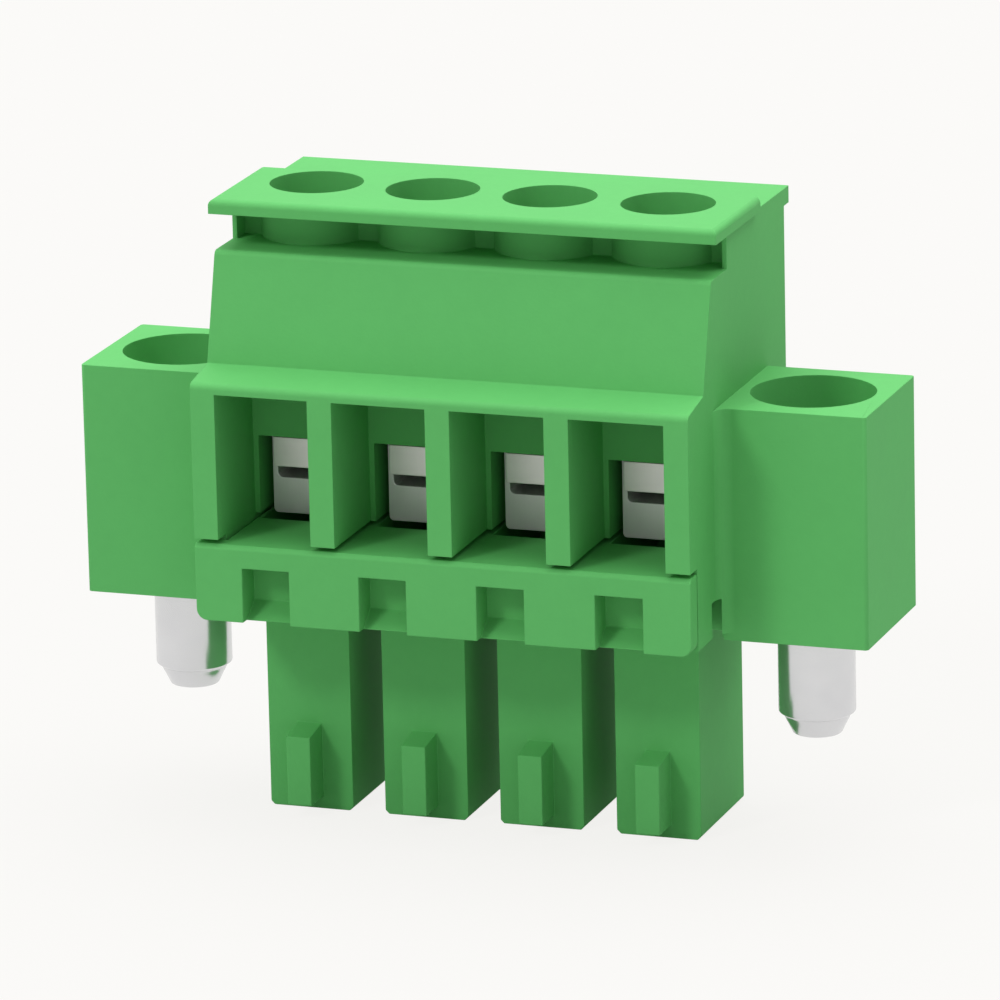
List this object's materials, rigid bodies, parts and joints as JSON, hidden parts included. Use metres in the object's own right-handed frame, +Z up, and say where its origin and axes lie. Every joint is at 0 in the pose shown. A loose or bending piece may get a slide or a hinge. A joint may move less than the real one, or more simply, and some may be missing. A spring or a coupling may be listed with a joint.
{
  "type": "pluggable terminal block plug",
  "caption": "Pluggable screw terminal plug with wire chambers at the front, clamp screws on top, socket shafts below and captive screws in its end flanges.",
  "frame": {"origin": "below the middle of the row, in the plane of the shaft ends, centred front to back", "axes": "+X along the row of poles, -Y the side where the wires enter, +Z up from the shafts to the screw side"},
  "size_m": [0.0254, 0.0104, 0.0197],
  "materials": {
    "housing_plastic": "moulded polyamide, satin",
    "carrier_plastic": "moulded polyamide, satin",
    "screw_steel": "zinc plated, turned",
    "sleeve_metal": "nickel plated",
    "contact_metal": "tin plated copper alloy strip"
  },
  "bodies": {
    "plug": {"upper_housing": "housing_plastic", "contact_carrier": "carrier_plastic", "contact_1": "contact_metal", "contact_2": "contact_metal", "contact_3": "contact_metal", "contact_4": "contact_metal"},
    "clamp_screw_1": {"clamp_screw_1": "screw_steel"},
    "tension_sleeve_1": {"tension_sleeve_1": "sleeve_metal"},
    "clamp_screw_2": {"clamp_screw_2": "screw_steel"},
    "tension_sleeve_2": {"tension_sleeve_2": "sleeve_metal"},
    "clamp_screw_3": {"clamp_screw_3": "screw_steel"},
    "tension_sleeve_3": {"tension_sleeve_3": "sleeve_metal"},
    "clamp_screw_4": {"clamp_screw_4": "screw_steel"},
    "tension_sleeve_4": {"tension_sleeve_4": "sleeve_metal"},
    "flange_screw_1": {"flange_screw_1": "screw_steel"},
    "flange_screw_2": {"flange_screw_2": "screw_steel"}
  },
  "joints": [
    {"name": "clamp_screw_1_turn", "type": "hinge", "parent": "plug", "child": "clamp_screw_1", "pos_m": [-0.00571, 0.00025, 0.016], "axis": [0, 0, 1], "range_deg": [0, 1350]},
    {"name": "tension_sleeve_1_lift", "type": "slide", "parent": "plug", "child": "tension_sleeve_1", "axis": [0, 0, -1], "range_m": [0, 0.0015]},
    {"name": "clamp_screw_2_turn", "type": "hinge", "parent": "plug", "child": "clamp_screw_2", "pos_m": [-0.00191, 0.00025, 0.016], "axis": [0, 0, 1], "range_deg": [0, 1350]},
    {"name": "tension_sleeve_2_lift", "type": "slide", "parent": "plug", "child": "tension_sleeve_2", "axis": [0, 0, -1], "range_m": [0, 0.0015]},
    {"name": "clamp_screw_3_turn", "type": "hinge", "parent": "plug", "child": "clamp_screw_3", "pos_m": [0.00191, 0.00025, 0.016], "axis": [0, 0, 1], "range_deg": [0, 1350]},
    {"name": "tension_sleeve_3_lift", "type": "slide", "parent": "plug", "child": "tension_sleeve_3", "axis": [0, 0, -1], "range_m": [0, 0.0015]},
    {"name": "clamp_screw_4_turn", "type": "hinge", "parent": "plug", "child": "clamp_screw_4", "pos_m": [0.00571, 0.00025, 0.016], "axis": [0, 0, 1], "range_deg": [0, 1350]},
    {"name": "tension_sleeve_4_lift", "type": "slide", "parent": "plug", "child": "tension_sleeve_4", "axis": [0, 0, -1], "range_m": [0, 0.0015]},
    {"name": "flange_screw_1_turn", "type": "hinge", "parent": "plug", "child": "flange_screw_1", "pos_m": [-0.01028, 0.00025, 0.01], "axis": [0, 0, 1], "continuous": true},
    {"name": "flange_screw_2_turn", "type": "hinge", "parent": "plug", "child": "flange_screw_2", "pos_m": [0.01028, 0.00025, 0.01], "axis": [0, 0, 1], "continuous": true}
  ],
  "couplings": [
    {"joint": "clamp_screw_1_turn", "follows": "tension_sleeve_1_lift", "rad_per_m": 15708},
    {"joint": "clamp_screw_2_turn", "follows": "tension_sleeve_2_lift", "rad_per_m": 15708},
    {"joint": "clamp_screw_3_turn", "follows": "tension_sleeve_3_lift", "rad_per_m": 15708},
    {"joint": "clamp_screw_4_turn", "follows": "tension_sleeve_4_lift", "rad_per_m": 15708}
  ]
}
